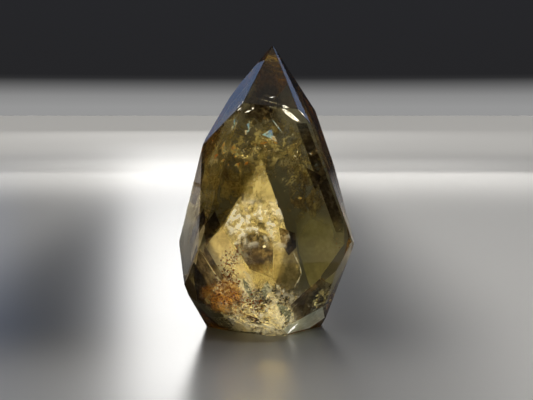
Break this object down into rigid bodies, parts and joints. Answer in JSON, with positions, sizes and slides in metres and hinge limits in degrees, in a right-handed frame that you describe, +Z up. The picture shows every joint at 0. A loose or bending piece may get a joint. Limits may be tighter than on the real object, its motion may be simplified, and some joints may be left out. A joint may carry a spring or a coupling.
{
  "type": "phantom citrine point",
  "caption": "A polished point of clear honey-coloured quartz, cut in flat facets that taper to a tip, standing upright on its own flat base",
  "frame": {"origin": "centre of the base mount, on the ground under the middle of the stone", "axes": "+Z up through the tip, -Y the front with the large window facet, +X to the right as seen from the front"},
  "size_m": [0.0492, 0.0389, 0.0796],
  "materials": {
    "citrine": "polished, clear, honey to olive with rust-orange specks inside"
  },
  "bodies": {
    "root": {"citrine": "citrine"}
  },
  "joints": []
}
